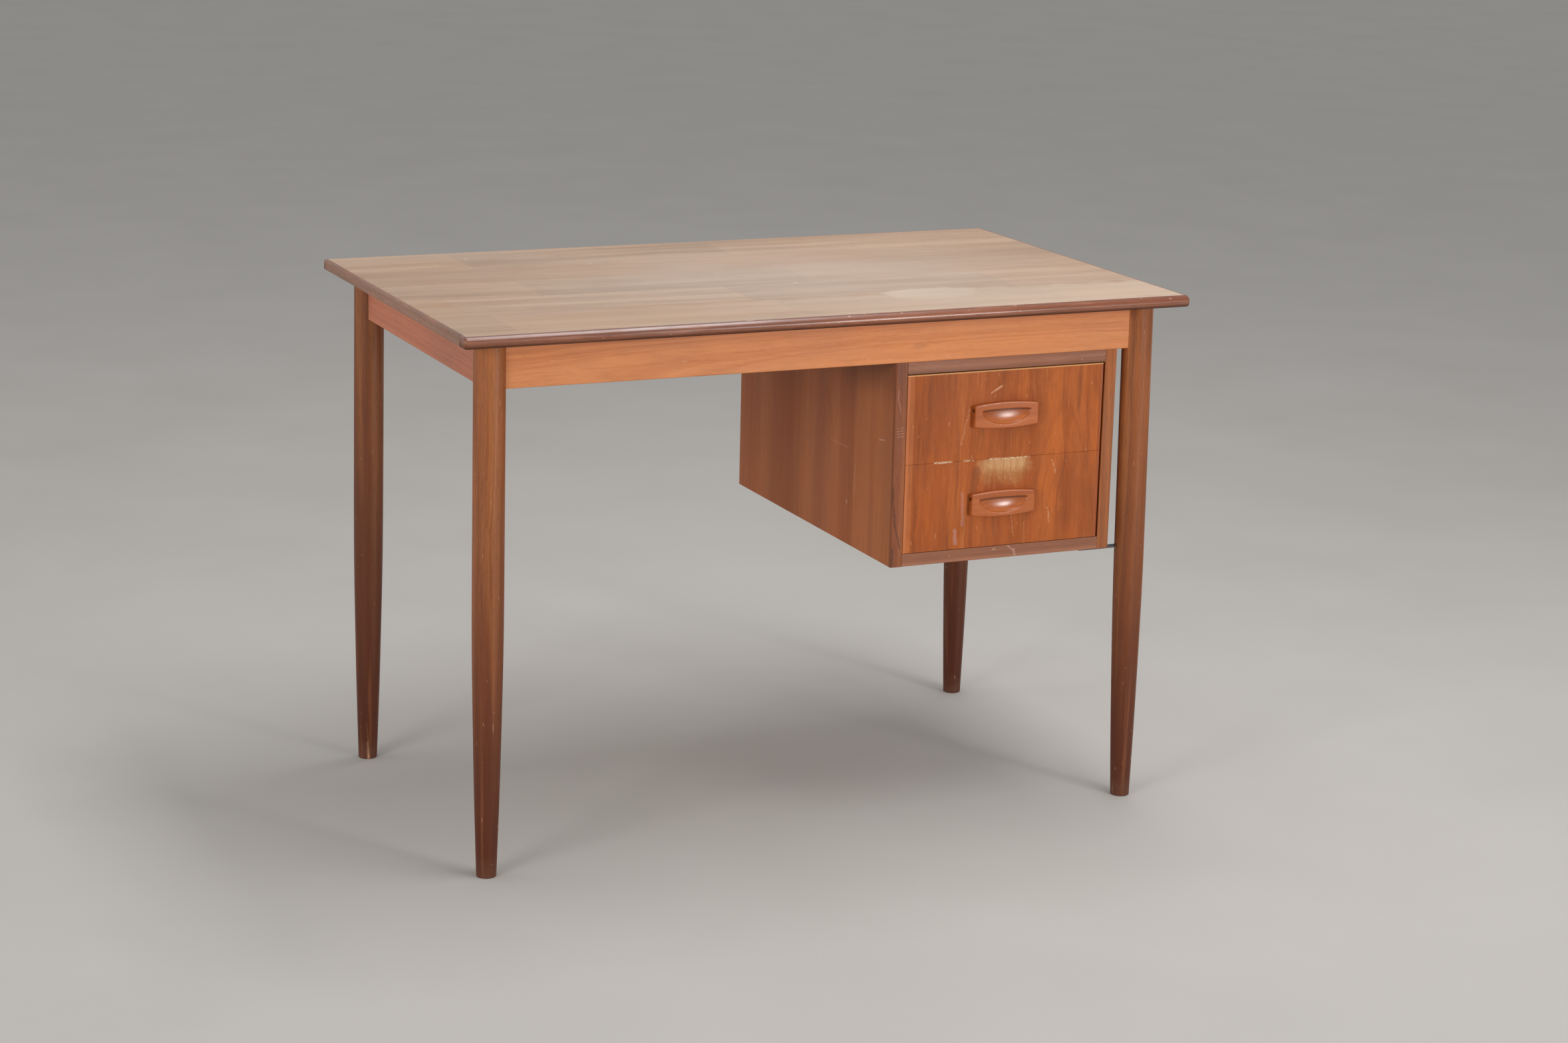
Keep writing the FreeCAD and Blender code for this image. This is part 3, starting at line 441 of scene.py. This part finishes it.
def paint_drawers(t, colour, rough):
    """The two fronts are cut from one sheet; the lower one is rubbed bare under the upper pull."""
    upper, lower = "upper_drawer_front", "lower_drawer_front"
    low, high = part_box(lower)
    height = (high[2] - low[2]) / MM
    x, z = t.xyz()[0], t.xyz()[2]
    sapwood = t.ramp(x, low[0] + 5.6 * MM, low[0] + 6.8 * MM, 1.0, 0.0)
    colour = t.mix(t.mul(sapwood, 0.45), colour, rgb(196, 116, 66))
    on_lower = t.ramp(z, high[2] + 0.1 * MM, high[2] + 0.3 * MM, 1.0, 0.0)

    cloud = t.noise(t.scaled(t.position(), (24.0, 1.0, 8.0)), 4.0, 0.6)
    colour = t.shade(colour, t.ramp(cloud, 0.34, 0.66, 0.84, 1.10))
    sway = t.plus(t.noise(t.scaled(t.position(), (9.0, 1.0, 9.0)), 2.0), -0.5)
    bent = t.plus(x, t.mul(sway, 0.035))
    bent = t.vector(t.mul(bent, 105.0), 0.0, t.mul(z, 5.5))
    dark_runs = t.noise(bent, 3.0, 0.55)
    colour = t.mix(t.ramp(dark_runs, 0.54, 0.72, 0.0, 0.60), colour, rgb(118, 62, 34))
    pale_runs = t.noise(t.shifted(t.scaled(bent, (1.6, 1.0, 1.5)), (3.1, 0.0, 1.4)), 3.0, 0.55)
    colour = t.mix(t.ramp(pale_runs, 0.58, 0.76, 0.0, 0.40), colour, rgb(196, 124, 74))
    colour = t.mix(t.mul(on_lower, 0.10), colour, rgb(112, 60, 34))

    bare = t.most(t.spot(on_front(lower, 152, height - 10), mm(38, 20, 30), 0.45, 60.0, 0.5),
                  t.mul(t.spot(on_front(lower, 122, height - 16), mm(18, 20, 22), 0.5, 60.0, 0.6), 0.6))
    bare_streaks = t.noise(t.scaled(t.position(), (230.0, 1.0, 16.0)), 3.0, 0.6)
    bare_streaks = t.ramp(bare_streaks, 0.34, 0.60, 0.50, 1.0)
    bare = t.mul(t.mul(bare, bare_streaks), on_lower)
    colour = t.mix(t.mul(bare, 0.75), colour, rgb(176, 120, 70))
    worn_through = t.ramp(z, high[2] - 26 * MM, high[2] - 8 * MM, 0.0, 0.75)
    colour = t.mix(t.mul(bare, worn_through), colour, rgb(204, 160, 114))
    scuffs = t.mul(t.flecks((420.0, 420.0, 200.0), 0.36, 9.0), t.mul(bare, 0.32))
    colour = t.mix(scuffs, colour, rgb(226, 190, 142))
    stain = t.scratch(on_front(lower, 104, 108), on_front(lower, 98, 56), 0.016, 0.36, 0.008)
    colour = t.mix(t.mul(stain, 0.42), colour, rgb(104, 58, 38))

    smear = t.most(
        t.scratch(on_front(lower, 84, 78), on_front(lower, 86, 34), 0.0052, 0.44, 0.005),
        t.mul(t.scratch(on_front(lower, 74, 26), on_front(lower, 76, 8), 0.0060, 0.40, 0.003), 1.4))
    colour = t.mix(t.mul(smear, 0.20), colour, rgb(188, 160, 160))
    scratches = t.most(
        t.scratch(on_front(upper, 123, 92), on_front(upper, 131, 97), 0.0016, 0.40),
        t.scratch(on_front(upper, 130, 96), on_front(upper, 139, 101), 0.0028, 0.34),
        t.mul(t.scratch(on_front(upper, 91, 72), on_front(upper, 80, 24), 0.0034, 0.52, 0.005), 0.4),
        t.mul(t.scratch(on_front(upper, 157, 36), on_front(upper, 157, 4), 0.0016, 0.50), 0.14),
        t.mul(t.scratch(on_front(lower, 222, 116), on_front(lower, 229, 96), 0.0030, 0.52, 0.004), 0.5),
        t.mul(t.scratch(on_front(lower, 218, 50), on_front(lower, 222, 26), 0.0030, 0.52, 0.004), 0.5),
        t.mul(t.scratch(on_front(lower, 160, 50), on_front(lower, 166, 12), 0.0022, 0.54, 0.004), 0.4))
    nicks = t.flecks((260.0, 260.0, 62.0), 0.26, 1.0)
    colour = t.mix(t.most(t.mul(scratches, 0.62), t.mul(nicks, 0.30)), colour, rgb(222, 176, 136))

    chipped = t.most(t.scratch(on_front(lower, 40, height), on_front(lower, 66, height), 0.0026, 0.46),
                     t.scratch(on_front(lower, 84, height), on_front(lower, 100, height), 0.0024, 0.56),
                     t.scratch(on_front(lower, 124, height), on_front(lower, 186, height - 1), 0.0026, 0.56))
    colour = t.mix(t.mul(chipped, 0.75), colour, rgb(230, 204, 170))
    return bare_top_line(t, colour), t.plus(rough, t.mul(bare, 0.12))


def bare_top_line(t, colour):
    """The upper drawer's top edge, rubbed down to pale wood."""
    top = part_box("upper_drawer_front")[1][2]
    bared = t.ramp(t.xyz()[2], top - 2 * MM, top - 1 * MM)
    return t.mix(t.mul(bared, 0.8), colour, rgb(226, 168, 110))


def paint_drawer_lips(t, colour, rough):
    """The thin strips on the fronts' ends: sapwood on the left; on the right, painted shade makes them darker
    and redder.
    """
    low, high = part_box("upper_drawer_front_lips")
    middle = 0.5 * (low[0] + high[0])
    left = t.ramp(t.xyz()[0], middle - 50 * MM, middle + 50 * MM, 1.0, 0.0)
    colour = t.mix(t.mul(left, 0.5), colour, rgb(198, 118, 68))
    # painted shade: the right ends darker and redder
    colour = t.mix(t.math("SUBTRACT", 0.35, t.mul(left, 0.35)), colour, rgb(120, 52, 26))
    return bare_top_line(t, colour), rough


def paint_pull(t, colour, rough):
    """Painted shade in the top of the hollow under the lip, and a few scuffs on the rim."""
    y, z = t.xyz()[1:]
    for node in ("upper_pull", "lower_pull"):
        low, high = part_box(node)
        brim = 0.5 * (low[2] + high[2]) + 8.4 * MM
        under = t.ramp(z, brim - 5.2 * MM, brim - 0.8 * MM)
        under = t.mul(under, t.ramp(z, brim + 2.0 * MM, brim + 2.2 * MM, 1.0, 0.0))
        inside = t.ramp(y, low[1] + 0.4 * MM, low[1] + 2.2 * MM)
        # painted shade: darker in the top of the hollow, under the lip
        colour = t.mix(t.mul(t.mul(under, inside), 0.8), colour, GRIME_AND_SHADE)
    scuffs = t.flecks((150.0, 150.0, 200.0), 0.235, 2.0)
    colour = t.mix(t.mul(scuffs, 0.35), colour, rgb(214, 162, 122))
    return colour, rough


# ---------------------------------------------------------------- which wood is where

TOP_COLOURS = ((186, 154, 126), (172, 139, 111), (150, 117, 91), (124, 94, 72))
LIP_COLOURS = ((138, 76, 42), (118, 61, 32), (92, 46, 26), (64, 34, 20))
SIDE_LIP_COLOURS = ((146, 108, 88), (130, 94, 76), (104, 72, 58), (78, 52, 42))
APRON_COLOURS = ((220, 142, 88), (212, 132, 78), (184, 104, 58), (148, 84, 46))
# painted shade: the side aprons are darker and redder than the front and rear ones
SHADED_SIDE_APRON_COLOURS = ((182, 114, 86), (170, 102, 76), (140, 80, 58), (108, 62, 46))
LEG_COLOURS = ((170, 104, 58), (148, 84, 44), (112, 58, 30), (76, 40, 22))
CARCASS_COLOURS = ((166, 98, 56), (152, 85, 48), (128, 69, 40), (102, 56, 34))
STRIP_COLOURS = ((160, 104, 76), (144, 90, 63), (116, 70, 49), (84, 51, 38))
LEFT_STRIP_COLOURS = ((146, 82, 42), (130, 69, 36), (104, 54, 30), (74, 41, 26))
RIGHT_STRIP_COLOURS = ((162, 93, 44), (146, 80, 37), (116, 60, 30), (84, 46, 26))
DRAWER_COLOURS = ((176, 93, 38), (164, 83, 32), (137, 66, 27), (106, 52, 25))
PULL_COLOURS = ((180, 98, 48), (168, 88, 42), (142, 72, 36), (110, 56, 30))
RAW_COLOURS = ((216, 186, 144), (202, 168, 124), (174, 138, 98), (140, 108, 76))
PLY_COLOURS = ((214, 174, 126), (196, 152, 106), (166, 120, 80), (128, 90, 62))


def put(material, *names):
    for name in names:
        for slot in NODES[name].material_slots:
            slot.material = material


def finish_desk():
    put(wood("top_veneer", "x", TOP_COLOURS, 1, band=0.03, figure=0.35, streaks=0.42, pores=0.45, tone=0.2,
             rough=(0.40, 0.52), specular=0.5, paint=paint_top), "top_veneer")
    put(wood("top_lipping_x", "x", LIP_COLOURS, 2, figure=0.3, streaks=0.3, specular=0.4,
             paint=paint_front_lip, polish=polish_front_lip), "top_lip_front", "top_lip_rear")
    put(wood("top_lipping_y", "y", SIDE_LIP_COLOURS, 3, rough=(0.40, 0.52), specular=0.4, paint=paint_lip),
        "top_lip_left", "top_lip_right")
    put(wood("apron_x", "x", APRON_COLOURS, 4, band=0.05, figure=0.45, rings=130.0, streaks=0.3, pores=0.2,
             pith=(-0.25, 0.66), slope=0.05, paint=paint_apron), "apron_front", "apron_rear")
    put(wood("apron_y", "y", SHADED_SIDE_APRON_COLOURS, 5, figure=0.22, streaks=0.15, pores=0.25),
        "apron_left", "apron_right")
    put(wood("leg", "z", LEG_COLOURS, 6, band=0.014, figure=0.3, streaks=0.35, pores=0.35, flames=0.2,
             paint=paint_leg), "leg_front_left", "leg_front_right", "leg_rear_left", "leg_rear_right")
    put(wood("carcass_z", "z", CARCASS_COLOURS, 7, band=0.05, figure=0.15, streaks=0.12, pores=0.16, tone=0.3,
             specular=0.2, bump=0.15, paint=paint_side), "pedestal_side_left", "pedestal_side_right")
    put(wood("carcass_y", "y", CARCASS_COLOURS, 8, figure=0.35, streaks=0.3),
        "pedestal_top", "pedestal_bottom")
    put(wood("strip_left", "z", LEFT_STRIP_COLOURS, 9, band=0.008, streaks=0.3, pores=0.35, worn_edge=0.5,
             paint=paint_strips), "pedestal_lip_left")
    put(wood("strip_right", "z", RIGHT_STRIP_COLOURS, 10, band=0.008, figure=0.3, streaks=0.3, pores=0.35),
        "pedestal_lip_right")
    put(wood("strip_x", "x", STRIP_COLOURS, 11, band=0.012, streaks=0.25, pores=0.25, worn_edge=0.6,
             paint=paint_strips),
        "pedestal_lip_top", "pedestal_lip_bottom")
    put(wood("drawer_veneer", "z", DRAWER_COLOURS, 12, band=0.022, figure=0.3, rings=110.0, streaks=0.2,
             pores=0.3, flames=0.15, pith=(0.36, -0.20), slope=0.22, specular=0.18, paint=paint_drawers),
        "upper_drawer_front", "lower_drawer_front")
    put(wood("drawer_lipping", "z", DRAWER_COLOURS, 13, band=0.01, figure=0.3, paint=paint_drawer_lips),
        "upper_drawer_front_lips", "lower_drawer_front_lips")
    put(wood("pull", "x", PULL_COLOURS, 14, band=0.012, figure=0.3, streaks=0.2, pores=0.2,
             rough=(0.19, 0.25), specular=0.38, bump=0.12, edge=0.0018, paint=paint_pull),
        "upper_pull", "lower_pull")
    raw_y = wood("raw_y", "y", RAW_COLOURS, 15, figure=0.25, streaks=0.3, pores=0.3, rough=(0.6, 0.75))
    raw_x = wood("raw_x", "x", RAW_COLOURS, 16, figure=0.25, streaks=0.3, pores=0.3, rough=(0.6, 0.75))
    put(raw_y, "bearer_left", "bearer_right", "dowels",
        *[f"{d}_runner_{s}" for d in ("upper", "lower") for s in ("left", "right")],
        *[f"{d}_drawer_side_{s}" for d in ("upper", "lower") for s in ("left", "right")])
    put(raw_x, "fixing_block_front", "fixing_block_rear", "top_core",
        "upper_drawer_back", "lower_drawer_back",
        *[f"corner_block_{e}_{s}" for e in ("front", "rear") for s in ("left", "right")])
    put(wood("plywood", "x", PLY_COLOURS, 17, figure=0.3, streaks=0.3, pores=0.3, rough=(0.6, 0.75)),
        "upper_drawer_bottom", "lower_drawer_bottom", "top_balancing_veneer", "pedestal_back")
    put(steel("screw_steel", (168, 166, 158), 0.3), "top_fixing_screws", "pedestal_hanging_screws",
        "pedestal_back_nails", "runner_screws", "strap_screws", "upper_pull_screws", "lower_pull_screws")
    put(steel("strap_steel", (98, 94, 92), 0.45), "steel_strap")


# ---------------------------------------------------------------- floor, light, camera

FLOOR_REACH = 14.0
CAMERA_PLACE = (-1.7834, -4.0495, 1.4910)
CAMERA_TURN = (24.478, 14.085, 1.386)  # azimuth, tilt down and roll, in degrees
CAMERA_LENS = 73.512  # mm
CAMERA_SENSOR = 36.0  # mm wide


def floor():
    mesh = bpy.data.meshes.new("floor")
    reach = FLOOR_REACH
    corners = [(-reach, -reach, 0), (reach, -reach, 0), (reach, reach, 0), (-reach, reach, 0)]
    mesh.from_pydata(corners, [], [(0, 1, 2, 3)])
    plane = bpy.data.objects.new("floor", mesh)
    bpy.context.scene.collection.objects.link(plane)
    t = Tree("floor")
    mottle = t.noise(t.position(), 4.0, 0.5, 3.0)
    grit = t.noise(t.position(), 3.0, 0.5, 240.0)
    normal = t.add("ShaderNodeBump", {"Strength": 0.08, "Distance": 0.001, "Height": grit})
    shader = t.add("ShaderNodeBsdfPrincipled", {
        "Base Color": t.mix(mottle, rgb(182, 178, 172), rgb(192, 188, 183)),
        "Roughness": t.ramp(mottle, 0.3, 0.7, 0.90, 0.97), "Specular IOR Level": 0.12,
        "Normal": normal.outputs[0],
    })
    t.add("ShaderNodeOutputMaterial", {"Surface": shader.outputs[0]})
    mesh.materials.append(t.owner)


def soft_box(name, place, target, size, power, spread=180.0):
    """A rectangular area light at a place, facing a target, its beam narrowed to a spread in degrees."""
    data = bpy.data.lights.new(name, "AREA")
    data.shape = "RECTANGLE"
    data.size, data.size_y = size
    data.energy = power
    data.spread = math.radians(spread)
    light = bpy.data.objects.new(name, data)
    light.location = place
    light.rotation_euler = (Vector(place) - Vector(target)).to_track_quat("Z", "Y").to_euler()
    bpy.context.scene.collection.objects.link(light)


def room_light():
    """A pale surround, two soft boxes in front, one at the back left, and a long panel over the desk."""
    t = Tree("room", is_world=True)
    background = t.add("ShaderNodeBackground", {"Color": rgb(205, 206, 208), "Strength": 0.83})
    t.add("ShaderNodeOutputWorld", {"Surface": background.outputs[0]})
    bpy.context.scene.world = t.owner
    soft_box("right_front", (2.25, -4.45, 0.80), (0.1, -0.2, 0.60), (0.6, 0.9), 15, 80.0)
    soft_box("left_front", (-4.3, -2.6, 1.7), (-0.1, 0.0, 0.55), (1.6, 1.4), 80)
    soft_box("back_left", (-4.6, 2.2, 1.3), (-0.4, 0.1, 0.5), (2.4, 1.8), 30)
    soft_box("ceiling_panel", (0.72, -0.5, 3.2), (0.72, -0.51, 0.0), (0.8, 2.8), 54)


def camera():
    azimuth, elevation, roll = (math.radians(v) for v in CAMERA_TURN)
    level_forward = Vector((math.sin(azimuth), math.cos(azimuth), 0.0))
    forward = math.cos(elevation) * level_forward - math.sin(elevation) * Vector((0.0, 0.0, 1.0))
    level = Vector((math.cos(azimuth), -math.sin(azimuth), 0.0))
    upright = level.cross(forward)
    right = math.cos(roll) * level + math.sin(roll) * upright
    up = -math.sin(roll) * level + math.cos(roll) * upright
    data = bpy.data.cameras.new("photo_camera")
    data.sensor_width = CAMERA_SENSOR
    data.lens = CAMERA_LENS
    data.clip_end = 100.0
    cam = bpy.data.objects.new("photo_camera", data)
    turn = Matrix((right, up, -forward)).transposed()
    cam.matrix_world = Matrix.Translation(CAMERA_PLACE) @ turn.to_4x4()
    bpy.context.scene.collection.objects.link(cam)
    bpy.context.scene.camera = cam


floor()
finish_desk()
room_light()
camera()
bpy.context.scene.view_settings.view_transform = "Standard"
bpy.context.scene.view_settings.look = "None"
